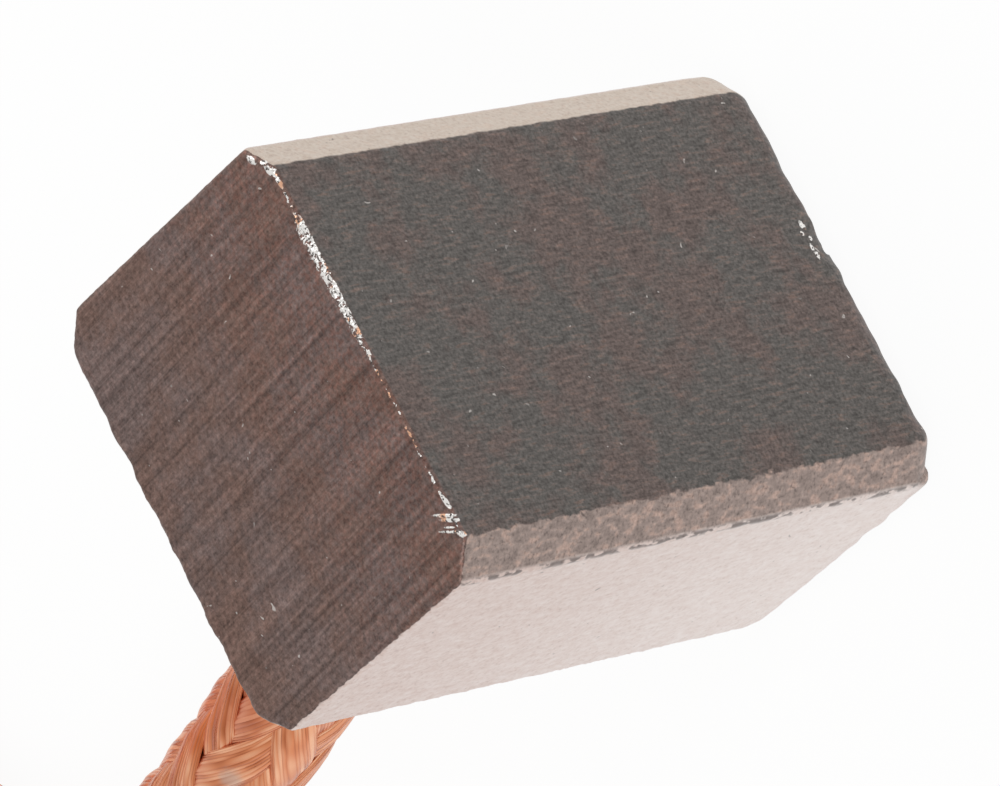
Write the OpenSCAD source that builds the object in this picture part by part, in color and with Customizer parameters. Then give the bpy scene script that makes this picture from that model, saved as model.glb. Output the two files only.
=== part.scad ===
// Carbon brush for an electric motor: a copper-graphite block, the copper powder
// tamped round its braided pigtail, the pigtail itself and a crimped ring terminal.
// Frame: the block stands on its spring end, the running face is on top (+Z) and
// the pigtail leaves the back (+Y). The origin is the centre of the spring end.

/* [Block] */
// Length of the block, from the spring end to the running face
block_length = 15.5; // [12:0.5:32]
// Width of the block along the shaft of the motor
block_width = 10.8; // [8:0.2:20]
// Thickness of the block along the motion of the commutator
block_thickness = 8; // [7.4:0.2:16]
// Width of three of the long chamfers, along each face
chamfer = 0.75; // [0.3:0.05:1.5]
// Width of the uneven front right chamfer, along the front face
skew_chamfer_front = 0.83; // [0.3:0.01:1.5]
// Width of that chamfer along the side face
skew_chamfer_side = 0.53; // [0.3:0.01:1.5]
// Radius on the four edges of the pressed spring end
end_radius = 0.8; // [0.3:0.1:1.5]

/* [Wear] */
// Radius of the shell-shaped chip on the front edge of the spring end
edge_chip_radius = 1.2; // [0.8:0.1:2]
// Bite of that chip into the front face
edge_chip_depth = 0.3; // [0.1:0.05:0.5]
// Sideways place of that chip
edge_chip_x = 0.8; // [-3:0.1:3]
// Radius of the broken corner of the running face
corner_chip_radius = 1; // [0.6:0.1:2]
// Bite of that broken corner
corner_chip_depth = 0.3; // [0.1:0.05:0.5]
// Radius of the small nick on the back edge of the running face
nick_radius = 0.4; // [0.2:0.1:1]
// Bite of that nick
nick_depth = 0.15; // [0.05:0.05:0.3]
// Sideways place of that nick
nick_x = 2.1; // [-3:0.1:3]

/* [Pigtail seat] */
// Height of the pigtail above the spring end
seat_height = 5.5; // [3.5:0.1:10]
// Diameter of the blind hole for the tamped powder
seat_diameter = 4.4; // [4:0.1:6]
// Depth of that hole, up to the drill's cone
seat_depth = 5; // [4:0.1:5.4]
// Included angle of the drill's point
drill_point_angle = 118; // [90:1:135]
// Width that the countersink adds to the radius at the mouth
mouth_flare = 0.35; // [0.1:0.05:0.8]
// Depth of the pigtail inside the powder
pigtail_insertion = 4.5; // [2:0.1:4.8]

/* [Pigtail] */
// Diameter of the copper braid
pigtail_diameter = 3; // [2:0.1:3.2]
// Number of sides of the plain tube
pigtail_sides = 8; // [6:2:12]

/* [Ring terminal] */
// Thickness of the stamped sheet
sheet = 0.6; // [0.4:0.1:1]
// Diameter of the screw hole
screw_hole = 5.3; // [3.2:0.1:6.4]
// Outer diameter of the ring
ring_diameter = 10; // [8:0.5:14]
// Length of the crimped barrel
barrel_length = 6; // [4:0.5:10]
// Length of the channel that opens out from the barrel to the flat tongue
channel_length = 3.2; // [2:0.1:5]
// Distance from the channel's end to the centre of the screw hole
tongue_reach = 5.5; // [4.5:0.1:10]
// Radius inside the two lower bends of the barrel
bend_radius = 1; // [0.3:0.1:1.2]
// Gap between the two wing tips
seam_gap = 0.1; // [0.04:0.02:0.3]
// Clearance between the wing tips and the braid
tip_clearance = 0.02; // [0:0.01:0.1]
// Straight rise of the wings past the top of the braid, before they curl
wing_rise = 0.1; // [0:0.05:1]

/* [Hidden] */
$fn = 64;

eps = 0.01;
front = -block_thickness / 2;
back = block_thickness / 2;
half_width = block_width / 2;
seat_radius = seat_diameter / 2;
drill_cone = seat_radius / tan(drill_point_angle / 2);
pigtail_radius = pigtail_diameter / 2;

// Route of the pigtail's centre line: out of the back, down under its own
// weight, then along the surface in one loose turn to the terminal.
free_route = [
    [0, 6, 5.5], [-0.1, 8, 5.4], [-0.33, 10, 5.2], [-0.57, 12, 4.88], [-0.75, 14, 4.4],
    [-0.85, 16, 3.85], [-0.89, 18, 3.25], [-0.87, 20, 2.65], [-0.8, 22, 2.12],
    [-0.52, 24.2, 1.76], [0.3, 26.05, 1.6], [1.6, 27.6, 1.6], [3.2, 28.8, 1.6],
    [5.05, 29.6, 1.6], [7, 30, 1.6], [9.3, 30.15, 1.6], [11.8, 30.2, 1.6],
    [14.2, 30.1, 1.65], [16.8, 30, 1.85], [19.9, 30, 2.08]
];
barrel_start = [23, 30, 0];
braid_height = sheet + pigtail_radius;
braid_overhang = 0.8;
route = concat(
    [[0, back - pigtail_insertion, seat_height], [0, back, seat_height]],
    free_route,
    [
        [barrel_start.x, barrel_start.y, braid_height],
        [barrel_start.x + barrel_length / 2, barrel_start.y, braid_height],
        [barrel_start.x + barrel_length + braid_overhang, barrel_start.y, braid_height]
    ]
);

// ---- Block ----

module block_section() {
    cut = half_width - chamfer;
    edge = back - chamfer;
    polygon([
        [-cut, front], [half_width - skew_chamfer_front, front],
        [half_width, front + skew_chamfer_side], [half_width, edge],
        [cut, back], [-cut, back], [-half_width, edge], [-half_width, -edge]
    ]);
}

// Outline of the block from one side, with the two lower corners rounded
module rounded_side(width) {
    inner = width / 2 - end_radius;
    for (side = [-1, 1])
        translate([side * inner, end_radius])
            circle(r = end_radius);
    translate([-inner, 0])
        square([2 * inner, block_length]);
    translate([-width / 2, end_radius])
        square([width, block_length - end_radius]);
}

// Sides of a shape that is drawn upright and as deep as the block needs
module upright(depth) {
    rotate([90, 0, 0])
        linear_extrude(height = depth, center = true)
            children();
}

// Ball that bites to the given depth into an edge, along the edge's inward diagonal
module chip(edge_point, outward, radius, depth) {
    direction = outward / norm(outward);
    translate(edge_point + direction * (radius - depth))
        sphere(r = radius, $fn = 32);
}

// Everything that the drill removes, from the mouth inwards
module seat_cut(overrun) {
    translate([0, back, seat_height])
        rotate([90, 0, 0]) {
            translate([0, 0, -overrun])
                cylinder(r = seat_radius, h = seat_depth + overrun);
            cylinder(r1 = seat_radius + mouth_flare, r2 = seat_radius, h = mouth_flare);
            translate([0, 0, seat_depth])
                cylinder(r1 = seat_radius, r2 = 0, h = drill_cone);
        }
}

module carbon_block() {
    color("#5c5450")
        difference() {
            intersection() {
                linear_extrude(height = block_length)
                    block_section();
                upright(block_thickness + 1)
                    rounded_side(block_width);
                rotate([0, 0, 90])
                    upright(block_width + 1)
                        rounded_side(block_thickness);
            }
            seat_cut(eps);
            chip([edge_chip_x, front, 0], [0, -1, -0.6], edge_chip_radius, edge_chip_depth);
            chip([half_width - skew_chamfer_front, front, block_length], [0.5, -1, 1],
                 corner_chip_radius, corner_chip_depth);
            chip([nick_x, back, block_length], [0, 1, 1], nick_radius, nick_depth);
        }
}

// ---- Tamped powder ----

module tamped_powder() {
    color("#8a5a44")
        difference() {
            seat_cut(0);
            translate([0, back + 1, seat_height])
                rotate([90, 0, 0])
                    cylinder(r = pigtail_radius, h = pigtail_insertion + 1);
        }
}

// ---- Pigtail ----

function unit(v) = v / norm(v);

// Direction of the route at point i, from its neighbours
function heading(i) =
    unit(route[min(i + 1, len(route) - 1)] - route[max(i - 1, 0)]);

// One ring of points round the route, square to its direction
function ring_points(i) =
    let (
        along = heading(i),
        side = unit(cross(along, [0, 0, 1])),
        up = cross(side, along)
    )
    [for (k = [0 : pigtail_sides - 1])
        let (turn = 360 * k / pigtail_sides)
        route[i] + pigtail_radius * (cos(turn) * side + sin(turn) * up)];

module pigtail_braid() {
    n = pigtail_sides;
    last = len(route) - 1;
    points = [for (i = [0 : last]) each ring_points(i)];
    walls = [for (i = [0 : last - 1], k = [0 : n - 1])
        [i * n + k, i * n + (k + 1) % n, (i + 1) * n + (k + 1) % n, (i + 1) * n + k]];
    start_cap = [for (k = [n - 1 : -1 : 0]) k];
    end_cap = [for (k = [0 : n - 1]) last * n + k];
    color("#c8784e")
        polyhedron(points = points, faces = concat(walls, [start_cap, end_cap]));
}

// ---- Ring terminal ----

barrel_inner = pigtail_radius;
barrel_outer = barrel_inner + sheet;
curl_outer = barrel_outer / 2;
braid_top = braid_height + pigtail_radius;
curl_height = braid_top + wing_rise;

// Trough of the barrel: flat floor, two lower bends, straight walls
module trough(wall_height, radius, half) {
    for (side = [-1, 1])
        translate([side * (half - radius), radius])
            circle(r = radius);
    translate([-(half - radius), 0])
        square([2 * (half - radius), radius]);
    translate([-half, radius])
        square([2 * half, wall_height - radius]);
}

module open_channel_section() {
    difference() {
        trough(curl_height, bend_radius + sheet, barrel_outer);
        translate([0, sheet])
            trough(curl_height, bend_radius, barrel_inner);
    }
}

// One wing tip that curls over and comes down on the braid
module curl() {
    intersection() {
        difference() {
            circle(r = curl_outer);
            circle(r = curl_outer - sheet);
        }
        translate([-curl_outer, 0])
            square([2 * curl_outer, curl_outer]);
    }
}

module barrel_section() {
    open_channel_section();
    difference() {
        union() {
            for (side = [-1, 1])
                translate([side * curl_outer, curl_height])
                    curl();
            translate([-sheet, braid_top + tip_clearance])
                square([2 * sheet, curl_height - braid_top - tip_clearance + eps]);
        }
        translate([-seam_gap / 2, 0])
            square([seam_gap, curl_height + curl_outer + eps]);
    }
}

// Turns a section drawn in Y and Z into a solid that runs along X
module along_x(length) {
    rotate([90, 0, 90])
        linear_extrude(height = length)
            children();
}

// Walls of the channel, cut down on a slope from the barrel to the tongue
module opening_channel() {
    intersection() {
        along_x(channel_length)
            open_channel_section();
        rotate([90, 0, 0])
            linear_extrude(height = 4 * barrel_outer, center = true)
                polygon([
                    [0, 0], [channel_length, 0], [channel_length, sheet], [0, braid_height]
                ]);
    }
}

// Flat tongue that widens from the trough's floor, and the ring with its hole
module tongue() {
    floor_half = barrel_outer - bend_radius - sheet;
    ring_radius = ring_diameter / 2;
    ring_x = channel_length + tongue_reach;
    neck = [tongue_reach, barrel_outer];
    tangent_angle = acos(ring_radius / norm(neck)) + atan2(neck.y, neck.x);
    touch = [ring_x - ring_radius * cos(tangent_angle), ring_radius * sin(tangent_angle)];
    linear_extrude(height = sheet)
        difference() {
            union() {
                polygon([
                    [0, -floor_half], [channel_length, -barrel_outer], [touch.x, -touch.y],
                    [ring_x, 0], [touch.x, touch.y], [channel_length, barrel_outer],
                    [0, floor_half]
                ]);
                translate([ring_x, 0])
                    circle(r = ring_radius);
            }
            translate([ring_x, 0])
                circle(d = screw_hole);
        }
}

module ring_terminal() {
    color("#d6d2c8")
        translate(barrel_start) {
            along_x(barrel_length)
                barrel_section();
            translate([barrel_length, 0, 0]) {
                opening_channel();
                tongue();
            }
        }
}

carbon_block();
tamped_powder();
pigtail_braid();
ring_terminal();
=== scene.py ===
import bpy
import math
import random
import numpy as np
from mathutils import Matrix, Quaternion, Vector


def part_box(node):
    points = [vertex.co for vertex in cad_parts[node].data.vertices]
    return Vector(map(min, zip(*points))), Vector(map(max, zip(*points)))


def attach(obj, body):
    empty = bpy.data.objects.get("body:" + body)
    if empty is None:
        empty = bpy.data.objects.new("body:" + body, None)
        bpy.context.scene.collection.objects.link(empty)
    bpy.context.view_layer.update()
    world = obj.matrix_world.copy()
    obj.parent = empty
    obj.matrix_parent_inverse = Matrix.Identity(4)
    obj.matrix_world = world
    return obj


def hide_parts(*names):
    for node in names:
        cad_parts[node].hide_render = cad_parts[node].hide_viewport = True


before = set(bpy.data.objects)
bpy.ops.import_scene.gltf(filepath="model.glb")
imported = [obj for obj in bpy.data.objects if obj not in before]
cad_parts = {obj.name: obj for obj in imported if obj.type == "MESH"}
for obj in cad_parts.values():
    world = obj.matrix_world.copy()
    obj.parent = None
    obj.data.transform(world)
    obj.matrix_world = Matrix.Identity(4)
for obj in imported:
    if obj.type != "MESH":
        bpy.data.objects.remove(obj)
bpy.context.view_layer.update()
random.seed(11)
mm = 0.001
scene = bpy.context.scene
blockLow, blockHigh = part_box("carbon_block")
print("frame loaded:", ", ".join(sorted(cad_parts)))


# ---- small helpers ----

def linearColor(hexText):
    parts = [int(hexText[i:i + 2], 16) / 255 for i in (1, 3, 5)]
    return tuple(c / 12.92 if c <= 0.04045 else ((c + 0.055) / 1.055) ** 2.4 for c in parts) + (1,)


def addNode(tree, kind, inputs={}, out=0, stops=(), **settings):    # gives back the output that is used next
    node = tree.nodes.new("ShaderNode" + kind)
    for name, value in settings.items():
        setattr(node, name, value)
    for name, value in inputs.items():
        if isinstance(value, bpy.types.NodeSocket):
            tree.links.new(value, node.inputs[name])
        else:
            node.inputs[name].default_value = value
    for i, (place, color) in enumerate(stops):
        stop = node.color_ramp.elements[i] if i < 2 else node.color_ramp.elements.new(place)
        stop.position, stop.color = place, color
    return node.outputs[out]


def newMaterial(name, **values):    # values are set on the shader's own sockets
    material = bpy.data.materials.new(name)
    material.use_nodes = True
    surface = material.node_tree.nodes["Principled BSDF"]
    for socket, value in values.items():
        surface.inputs[socket.replace("_", " ")].default_value = value
    return material, material.node_tree, surface.inputs


def giveMaterial(piece, material):
    piece.data.materials.clear()
    piece.data.materials.append(material)


def deselectAll():
    bpy.ops.object.select_all(action="DESELECT")


def makeActive(piece):
    deselectAll()
    piece.select_set(True)
    bpy.context.view_layer.objects.active = piece


def applyModifier(piece, kind, **settings):
    makeActive(piece)
    modifier = piece.modifiers.new(kind.lower(), kind)
    for name, value in settings.items():
        setattr(modifier, name, value)
    bpy.ops.object.modifier_apply(modifier=modifier.name)


def getPoints(piece):
    points = np.empty(len(piece.data.vertices) * 3)
    piece.data.vertices.foreach_get("co", points)
    return points.reshape(-1, 3)


def setPoints(piece, points):
    piece.data.vertices.foreach_set("co", np.ascontiguousarray(points, dtype=np.float32).ravel())
    piece.data.update()


def bevelEdges(piece, wanted, **settings):    # wanted says which edges, by their two ends
    makeActive(piece)
    bpy.ops.object.mode_set(mode="EDIT")
    bpy.ops.mesh.select_mode(type="EDGE")
    bpy.ops.mesh.select_all(action="DESELECT")
    bpy.ops.object.mode_set(mode="OBJECT")
    ends = piece.data.vertices
    for edge in piece.data.edges:
        edge.select = wanted(*(ends[i].co for i in edge.vertices))
    bpy.ops.object.mode_set(mode="EDIT")
    bpy.ops.mesh.bevel(affect="EDGES", **settings)
    bpy.ops.object.mode_set(mode="OBJECT")


# ---- camera, floor and light ----

camera = {
    "azimuth": -22.8,
    "elevation": 45.44,
    "roll": -100.89,
    "distance": 188.16 * mm,
    "lens": 305.56,
    "aim": Vector((0.106, -0.008, 8.036)) * mm,
}


def placeCamera():
    turn, lift = math.radians(camera["azimuth"]), math.radians(camera["elevation"])
    back = Vector((math.sin(turn) * math.cos(lift), -math.cos(turn) * math.cos(lift), math.sin(lift)))
    bpy.ops.object.camera_add(location=camera["aim"] + back * camera["distance"])
    view = bpy.context.object
    level = (-back).to_track_quat("-Z", "Y")
    view.rotation_mode = "QUATERNION"
    view.rotation_quaternion = level @ Quaternion((0, 0, 1), math.radians(camera["roll"]))
    view.data.lens = camera["lens"]
    view.data.clip_start = 1 * mm
    view.data.clip_end = 10
    scene.camera = view


studio = {
    "floorSize": 3,
    "floorColor": "#E9E9E7",
    "floorGlow": 0.94,          # how much of the floor's white is its own, so that only a light shadow is left
    "skyColor": "#FFFFFF",
    "skyStrength": 0.8,
    "lamps": [                  # direction from the brush, distance, size, watts
        {"name": "keyLamp", "azimuth": -75, "elevation": 50, "distance": 0.5, "size": 0.3, "watts": 0.7},
        {"name": "fillLamp", "azimuth": 95, "elevation": 35, "distance": 0.6, "size": 0.4, "watts": 0.7},
    ],
}


def makeStudio():
    deselectAll()
    bpy.ops.mesh.primitive_plane_add(size=studio["floorSize"], location=(0, 0, 0))
    floor = bpy.context.object
    floor.name = "studioFloor"
    material, tree, sockets = newMaterial("pale studio floor", Base_Color=linearColor(studio["floorColor"]),
                                          Roughness=0.9, Specular_IOR_Level=0.1)
    path = addNode(tree, "LightPath").node.outputs
    seen = addNode(tree, "Math", {0: path["Is Camera Ray"], 1: path["Is Glossy Ray"]}, operation="MAXIMUM")
    seen = addNode(tree, "Math", {0: seen, 1: path["Is Transmission Ray"]}, operation="MAXIMUM")
    share = addNode(tree, "Math", {0: seen, 1: studio["floorGlow"]}, operation="MULTIPLY")
    white = addNode(tree, "Emission", {"Color": (1, 1, 1, 1), "Strength": 1.0})
    mixed = addNode(tree, "MixShader", {0: share, 1: tree.nodes["Principled BSDF"].outputs[0], 2: white})
    tree.links.new(mixed, tree.nodes["Material Output"].inputs["Surface"])
    giveMaterial(floor, material)

    world = bpy.data.worlds.new("soft white room")
    world.use_nodes = True
    sky = world.node_tree.nodes["Background"]
    sky.inputs["Color"].default_value = linearColor(studio["skyColor"])
    sky.inputs["Strength"].default_value = studio["skyStrength"]
    scene.world = world
    for lamp in studio["lamps"]:
        turn, lift = math.radians(lamp["azimuth"]), math.radians(lamp["elevation"])
        away = Vector((math.sin(turn) * math.cos(lift), -math.cos(turn) * math.cos(lift), math.sin(lift)))
        bpy.ops.object.light_add(type="AREA", location=away * lamp["distance"])
        light = bpy.context.object
        light.name = lamp["name"]
        light.data.size = lamp["size"]
        light.data.energy = lamp["watts"]
        light.rotation_euler = (-away).to_track_quat("-Z", "Y").to_euler()


placeCamera()
makeStudio()
scene.view_settings.view_transform = "Standard"
print("camera, floor and light placed")


# ---- pigtail: braided bare copper ----

pigtail = {
    "route": [                  # centre line in mm, the same points as in the CAD model
        (0, -0.5, 5.5), (0, 4, 5.5), (0, 6, 5.5), (-0.1, 8, 5.4), (-0.33, 10, 5.2), (-0.57, 12, 4.88),
        (-0.75, 14, 4.4), (-0.85, 16, 3.85), (-0.89, 18, 3.25), (-0.87, 20, 2.65), (-0.8, 22, 2.12),
        (-0.52, 24.2, 1.76), (0.3, 26.05, 1.6), (1.6, 27.6, 1.6), (3.2, 28.8, 1.6), (5.05, 29.6, 1.6),
        (7, 30, 1.6), (9.3, 30.15, 1.6), (11.8, 30.2, 1.6), (14.2, 30.1, 1.65), (16.8, 30, 1.85),
        (19.9, 30, 2.08), (23, 30, 2.1), (26, 30, 2.1), (29.8, 30, 2.1),
    ],
    "diameter": 3,
    "exit": (0, 4, 5.5),
    "bundlesEachWay": 8,
    "weaveRadius": 1.31,        # middle of the weave
    "bundleWidth": 1.04,
    "bundleThickness": 0.27,
    "weaveHeight": 0.125,       # how far a bundle rises and dips as it crosses the others
    "lead": 23.2,               # length of one full turn of a bundle, a slope of 20 degrees
    "leadStart": 0.7,
    "startAngle": 59,           # degrees that the whole weave is turned by
    "wiresAround": 30,          # fine wires that one bundle shows round its section
    "grooves": 0.02,            # depth of the gaps between groups of wires
    "columns": 32,
    "rows": 160,
    "coreRadius": 1.1,
    "barrelStart": 50.9,        # from here the terminal squeezes the braid
    "barrelSqueeze": 0.07,
    "looseWires": 7,
    "looseWireWidth": 0.06,
    # tarnish and painted shade: place, half size along x y z, colour, share
    "tarnishAndShade": [
        ((-1.65, 15.75, 5.3), (0.35, 0.6, 0.5), "#80766F", 0.5),
        # the next two patches are painted shade: deep orange where light bounces between the wires, and brown
        # where the block shades the braid; the grey one above is tarnish
        ((-0.1, 15.6, 5.4), (0.8, 3.2, 1.6), "#C4622E", 0.75),
        ((-0.9, 13.6, 6.0), (0.8, 1.6, 1.0), "#A85A3C", 0.6),
    ],
}


def smoothRoute(points, count):
    points = np.array(points, float) * mm
    padded = np.vstack([2 * points[0] - points[1], points, 2 * points[-1] - points[-2]])
    fine = []
    for i in range(1, len(padded) - 2):
        p0, p1, p2, p3 = padded[i - 1:i + 3]
        for t in np.linspace(0, 1, 24, endpoint=False):
            fine.append(0.5 * (2 * p1 + (p2 - p0) * t + (2 * p0 - 5 * p1 + 4 * p2 - p3) * t ** 2
                               + (3 * p1 - p0 - 3 * p2 + p3) * t ** 3))
    fine = np.array(fine + [points[-1]])
    run = np.concatenate([[0], np.cumsum(np.linalg.norm(np.diff(fine, axis=0), axis=1))])
    even = np.linspace(0, run[-1], count)
    line = np.stack([np.interp(even, run, fine[:, k]) for k in range(3)], axis=1)
    along = np.gradient(line, axis=0)
    side = np.cross(along, (0, 0, 1))
    side /= np.linalg.norm(side, axis=1)[:, None]
    up = np.cross(side, along)
    up /= np.linalg.norm(up, axis=1)[:, None]
    return {"line": line, "even": even, "side": side, "up": up, "length": run[-1]}


def placeOnRoute(route, run, angle, radius):
    def follow(values):
        return np.stack([np.interp(run, route["even"], values[:, k]) for k in range(3)], axis=-1)
    radius = radius * (1 - pigtail["barrelSqueeze"] * np.clip((run / mm - pigtail["barrelStart"]) / 0.6, 0, 1))
    sideways, upwards = np.cos(angle)[:, None], np.sin(angle)[:, None]
    return follow(route["line"]) + radius[:, None] * (sideways * follow(route["side"])
                                                      + upwards * follow(route["up"]))


def addStrand(columns, rows, texture):    # a flat grid whose long sides are closed into a tube
    deselectAll()
    bpy.ops.mesh.primitive_grid_add(x_subdivisions=columns, y_subdivisions=rows, size=1)
    strand = bpy.context.object
    flat = getPoints(strand)
    uv = strand.data.uv_layers.active.data
    spots = np.empty(len(uv) * 2)
    uv.foreach_get("uv", spots)
    spots = spots.reshape(-1, 2)
    spots[:, 0] = spots[:, 0] if texture >= 0 else 0.25
    spots[:, 1] += abs(texture) * 3.7          # so that no two strands show the same streaks
    uv.foreach_set("uv", spots.ravel())
    return strand, (flat[:, 0] + 0.5) * 2 * math.pi, flat[:, 1] + 0.5


def layStrand(route, number, hand, width, thickness, start, end, columns, rows, texture,
              shift=0.0, lift=None, wander=0.0):
    half, middle = pigtail["bundlesEachWay"], pigtail["weaveRadius"] * mm
    turnRate = 2 * math.pi / (pigtail["lead"] * mm)
    tilt = math.atan(turnRate * middle)
    strand, around, share = addStrand(columns, rows, texture)
    across = np.cos(around) * width * mm / 2 + shift * mm
    rise = np.sin(around) * thickness * mm / 2
    if lift is None:            # a bundle's outer side falls into a few groups of wires
        groups = np.sin(np.cos(around) * 8 + number * 1.7 + hand + 1.2 * np.sin(share * 23 + number * 2))
        rise += np.maximum(np.sin(around), 0) * groups * pigtail["grooves"] * mm
    spine = start + (end - start) * share
    across += wander * mm * np.sin(share * 7 + number)
    run = np.clip(spine - across * math.sin(tilt), 0, route["length"])
    travelled = run + pigtail["leadStart"] * mm
    angle = (hand * ((spine + pigtail["leadStart"] * mm) * turnRate + across * math.cos(tilt) / middle)
             + 2 * math.pi * number / half)
    # the crossing bundle's number at each point tells whether this one is above or below it
    crossing = (angle + hand * travelled * turnRate) * half / (2 * math.pi)
    wave = np.clip(np.cos(math.pi / 2 * (crossing + number) - math.pi / 4) * hand * 1.5, -1, 1)
    if lift is not None:        # a loose wire lies on top of all
        wave = np.ones_like(wave)
        rise += lift * mm * np.sin(share * math.pi) ** 0.7
    radius = middle + wave * pigtail["weaveHeight"] * mm + rise
    setPoints(strand, placeOnRoute(route, run, angle + math.radians(pigtail["startAngle"]), radius))
    return strand


def makePigtail(route):
    length = route["length"]
    rows = pigtail["rows"] // 1
    strands = []
    for hand in (1, -1):
        for number in range(pigtail["bundlesEachWay"]):
            strands.append(layStrand(route, number, hand, pigtail["bundleWidth"], pigtail["bundleThickness"],
                                     -0.4 * mm, length + 0.4 * mm, pigtail["columns"], rows,
                                     number + (0 if hand > 0 else 20)))
    print("bundles woven:", len(strands))
    for i in range(pigtail["looseWires"]):
        start = random.uniform(8, 42) * mm
        strands.append(layStrand(route, random.randrange(8), random.choice((1, -1)),
                                 pigtail["looseWireWidth"], pigtail["looseWireWidth"],
                                 start, start + random.uniform(3, 6) * mm, 6, 24, -i - 1,
                                 shift=random.uniform(-0.4, 0.4), wander=random.uniform(0.05, 0.2),
                                 lift=pigtail["bundleThickness"] / 2 + random.uniform(-0.02, 0.02)))
    core, around, share = addStrand(24, 160, 40)
    radius = np.full(len(share), pigtail["coreRadius"] * mm)
    setPoints(core, placeOnRoute(route, share * length, around, radius))
    deselectAll()
    for strand in strands + [core]:
        strand.select_set(True)
    bpy.context.view_layer.objects.active = core
    bpy.ops.object.join()
    braid = bpy.context.object
    braid.name = "pigtailBraid"
    bpy.ops.object.mode_set(mode="EDIT")
    bpy.ops.mesh.select_all(action="SELECT")
    bpy.ops.mesh.remove_doubles(threshold=0.0005 * mm)
    bpy.ops.mesh.select_all(action="DESELECT")
    bpy.ops.mesh.select_mode(type="EDGE")
    bpy.ops.mesh.select_non_manifold()
    bpy.ops.mesh.fill_holes(sides=0)
    bpy.ops.mesh.select_all(action="SELECT")
    bpy.ops.mesh.normals_make_consistent(inside=False)
    bpy.ops.object.mode_set(mode="OBJECT")
    bpy.ops.object.shade_smooth_by_angle(angle=math.radians(50))
    return braid


def makeCopperMaterial():
    # drawn bare copper wire, a little oxidised: each fine wire carries a painted highlight along its crown and
    # painted orange shade in the hollow beside it
    material, tree, sockets = newMaterial("drawn bare copper wire", Metallic=1)
    uv = addNode(tree, "UVMap", uv_map="UVMap")
    wires = addNode(tree, "VectorMath", {0: uv, 1: (pigtail["wiresAround"], 24, 0)}, operation="MULTIPLY")
    along = addNode(tree, "SeparateXYZ", {0: wires}).node.outputs
    # a slow sideways drift, so that the wires don't run dead straight
    drift = addNode(tree, "TexNoise", {"Vector": wires, "Scale": 0.35, "Detail": 1.0}, noise_dimensions="2D")
    drift = addNode(tree, "Math", {0: drift, 1: 2.4, 2: along[0]}, operation="MULTIPLY_ADD")
    inWire = addNode(tree, "Math", {0: addNode(tree, "Math", {0: drift}, operation="FRACT"), 1: 2.0, 2: -1.0},
                     operation="MULTIPLY_ADD")
    inWire = addNode(tree, "Math", {0: inWire, 1: inWire}, operation="MULTIPLY")
    crownBumpAndShade = addNode(tree, "Math", {0: 1.0, 1: inWire}, operation="SUBTRACT")
    which = addNode(tree, "Math", {0: drift}, operation="FLOOR")
    key = addNode(tree, "CombineXYZ", {0: which, 1: along[1]})
    streak = addNode(tree, "TexNoise", {"Vector": key, "Scale": 1.6, "Detail": 1.0}, noise_dimensions="2D")
    # the crown term paints a highlight on each wire and orange shade in the hollows between them
    toneAndShade = addNode(tree, "Math", {0: crownBumpAndShade, 1: 0.2, 2: streak}, operation="MULTIPLY_ADD")
    color = addNode(tree, "ValToRGB", {0: toneAndShade}, stops=[
        (0.28, linearColor("#A85730")), (0.6, linearColor("#DB8A60")), (0.92, linearColor("#F4BA94"))])
    # tarnish and painted shade in a few places
    place = addNode(tree, "TexCoord", out=3)
    ragged = addNode(tree, "TexNoise", {"Vector": place, "Scale": 1 / (0.5 * mm), "Detail": 3.0})
    for spot, halfSize, shade, share in pigtail["tarnishAndShade"]:
        local = addNode(tree, "Mapping", {0: place, 1: [v * mm for v in spot], 3: [v * mm for v in halfSize]},
                        vector_type="TEXTURE")
        away = addNode(tree, "VectorMath", {0: local}, out=1, operation="LENGTH")
        away = addNode(tree, "Math", {0: ragged, 1: 0.9, 2: away}, operation="MULTIPLY_ADD")
        amount = addNode(tree, "MapRange", {0: away, 1: 1.45, 2: 0.75, 3: 0.0, 4: share},
                         interpolation_type="SMOOTHSTEP")
        tinted = addNode(tree, "Mix", {0: 1.0, 6: color, 7: linearColor(shade)}, out=2,
                         data_type="RGBA", blend_type="COLOR")
        tinted = addNode(tree, "Mix", {0: 0.5, 6: tinted, 7: linearColor(shade)}, out=2, data_type="RGBA")
        color = addNode(tree, "Mix", {0: amount, 6: color, 7: tinted}, out=2, data_type="RGBA")
    tree.links.new(color, sockets["Base Color"])
    tree.links.new(addNode(tree, "MapRange", {0: streak, 3: 0.22, 4: 0.42}), sockets["Roughness"])
    bump = addNode(tree, "Bump", {"Strength": 0.6, "Distance": 0.02 * mm, "Height": crownBumpAndShade})
    tree.links.new(bump, sockets["Normal"])
    return material


pigtailRoute = smoothRoute(pigtail["route"], 400)
braid = makePigtail(pigtailRoute)
giveMaterial(braid, makeCopperMaterial())
print("pigtail braided: %.1f mm," % (pigtailRoute["length"] / mm), len(braid.data.polygons), "faces")


# ---- ring terminal on the far end of the pigtail ----

terminal = {
    "edgeSoftness": 0.06,       # stamped edges, barely broken
    "tin": "#D9D6CE",
    "tinDull": "#B9B5AC",
    "brass": "#C9A25A",
    "sheet": 0.6,
}


def makeTerminal():
    deselectAll()
    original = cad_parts["ring_terminal"]
    piece = original.copy()
    piece.data = original.data.copy()
    scene.collection.objects.link(piece)
    piece.name = "ringTerminal"
    makeActive(piece)
    bpy.ops.object.mode_set(mode="EDIT")
    bpy.ops.mesh.select_all(action="SELECT")
    bpy.ops.mesh.remove_doubles(threshold=0.002 * mm)
    bpy.ops.mesh.dissolve_limited(angle_limit=math.radians(1))
    bpy.ops.object.mode_set(mode="OBJECT")
    applyModifier(piece, "BEVEL", width=terminal["edgeSoftness"] * mm, segments=2,
                  limit_method="ANGLE", angle_limit=math.radians(40))
    bpy.ops.object.shade_smooth_by_angle(angle=math.radians(35))
    return piece


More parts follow.
